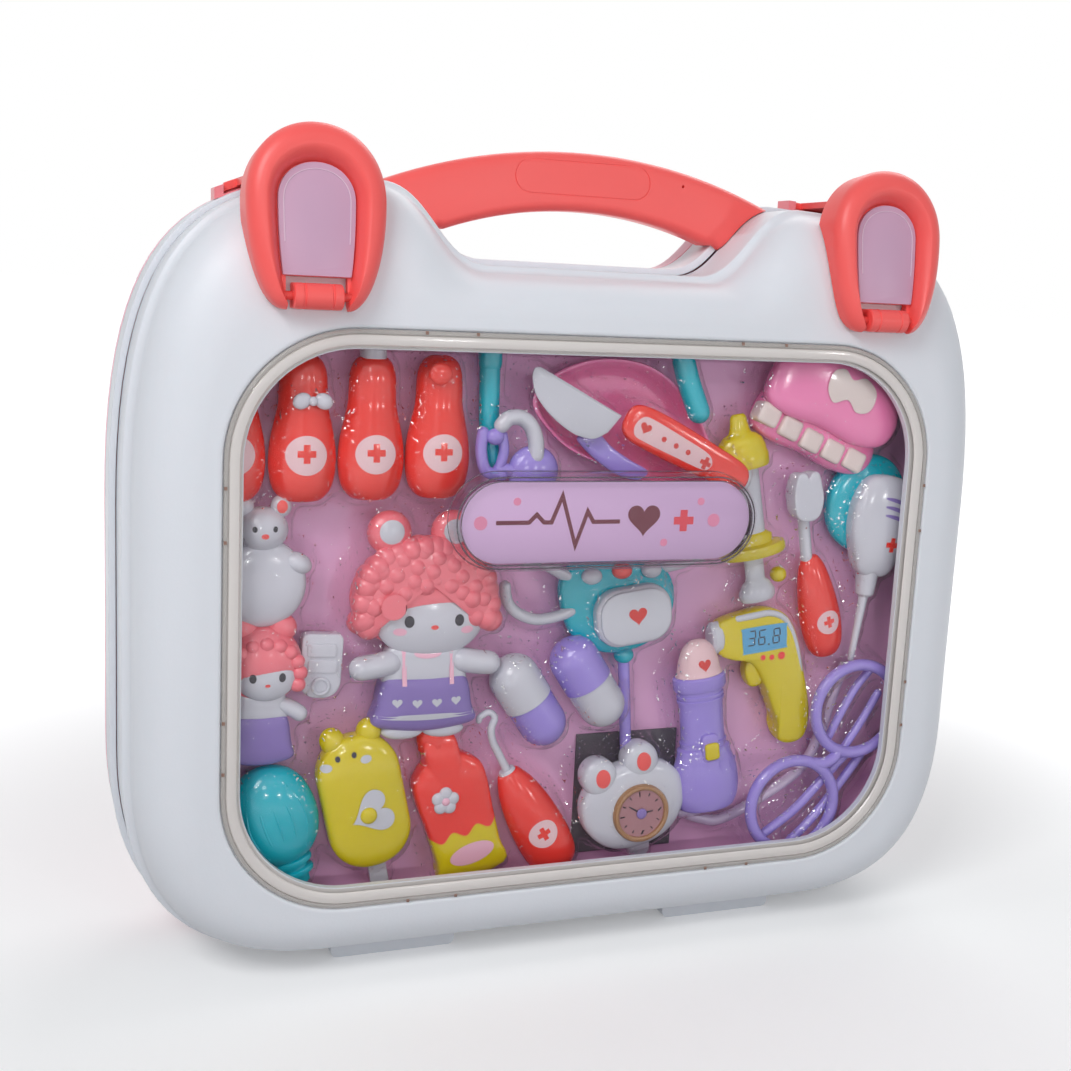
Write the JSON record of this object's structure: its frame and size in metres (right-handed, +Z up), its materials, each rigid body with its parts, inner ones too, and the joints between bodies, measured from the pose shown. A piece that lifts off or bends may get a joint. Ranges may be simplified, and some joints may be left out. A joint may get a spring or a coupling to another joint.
{
  "type": "toy doctor case",
  "caption": "Toy doctor case: white clamshell with a coral arch handle, coral ear-shaped latches and a clear window over play instruments on a pink tray.",
  "frame": {"origin": "centre of the bounding box at the floor, under the feet", "axes": "+Z up, the window faces -Y, +X to the right as seen from the window side"},
  "size_m": [0.3606, 0.0982, 0.3186],
  "materials": {
    "white_shell": "satin moulded plastic",
    "coral": "satin gloss moulded plastic",
    "pale_pink": "satin gloss",
    "pink_plate": "smooth, behind clear plastic",
    "mauve": "satin",
    "clear": "clear glossy plastic",
    "pink_card": "satin sheet",
    "red": "gloss",
    "teal": "gloss",
    "lilac": "gloss",
    "yellow": "gloss",
    "rose": "gloss",
    "cream": "gloss",
    "grey_card": "matt",
    "steel": "satin"
  },
  "bodies": {
    "root": {"rear_shell": "white_shell", "back_cover": "pale_pink", "handle": "coral", "inner_tray": "pink_card", "blister": "clear", "latch_catch_left": "pale_pink", "rear_foot_left": "white_shell", "hinge_pin_left": "steel", "latch_catch_right": "pale_pink", "rear_foot_right": "white_shell", "hinge_pin_right": "steel", "scope_grip": "red", "bow_grip": "red", "drop_grip": "red", "knob_grip": "red", "ear_tube_left": "teal", "ear_tube_right": "teal", "hooked_probe": "cream", "tube_clamp": "lilac", "kidney_dish": "rose", "knife_handle": "red", "knife_blade": "cream", "tweezers": "lilac", "denture": "rose", "syringe": "cream", "toothbrush": "red", "lamp": "cream", "torch": "lilac", "spectacles": "lilac", "thermometer": "yellow", "capsule_left": "cream", "capsule_right": "lilac", "chest_piece": "teal", "watch": "cream", "watch_card": "grey_card", "dental_hook": "red", "cream_tube": "red", "small_doll": "coral", "white_figure": "cream", "squeeze_bulb": "teal", "doll_head": "coral", "doll_body": "lilac", "ice_lolly": "yellow", "pill_box": "cream"},
    "lid": {"front_shell": "white_shell", "window_panel": "clear", "pill_plate": "pink_plate", "latch_bracket_left": "coral", "latch_pin_left": "coral", "front_foot_left": "white_shell", "latch_bracket_right": "coral", "latch_pin_right": "coral", "front_foot_right": "white_shell"},
    "latch_left": {"latch_ear_left": "coral", "latch_inlay_left": "mauve"},
    "latch_right": {"latch_ear_right": "coral", "latch_inlay_right": "mauve"}
  },
  "joints": [
    {"name": "lid_hinge", "type": "hinge", "parent": "root", "child": "lid", "pos_m": [0, 0.0051, 0.0035], "axis": [1, 0, 0], "range_deg": [0, 90]},
    {"name": "latch_left_hinge", "type": "hinge", "parent": "lid", "child": "latch_left", "pos_m": [-0.1143, -0.0446, 0.2589], "axis": [1, 0, 0], "range_deg": [0, 110]},
    {"name": "latch_right_hinge", "type": "hinge", "parent": "lid", "child": "latch_right", "pos_m": [0.1143, -0.0446, 0.2589], "axis": [1, 0, 0], "range_deg": [0, 110]}
  ]
}
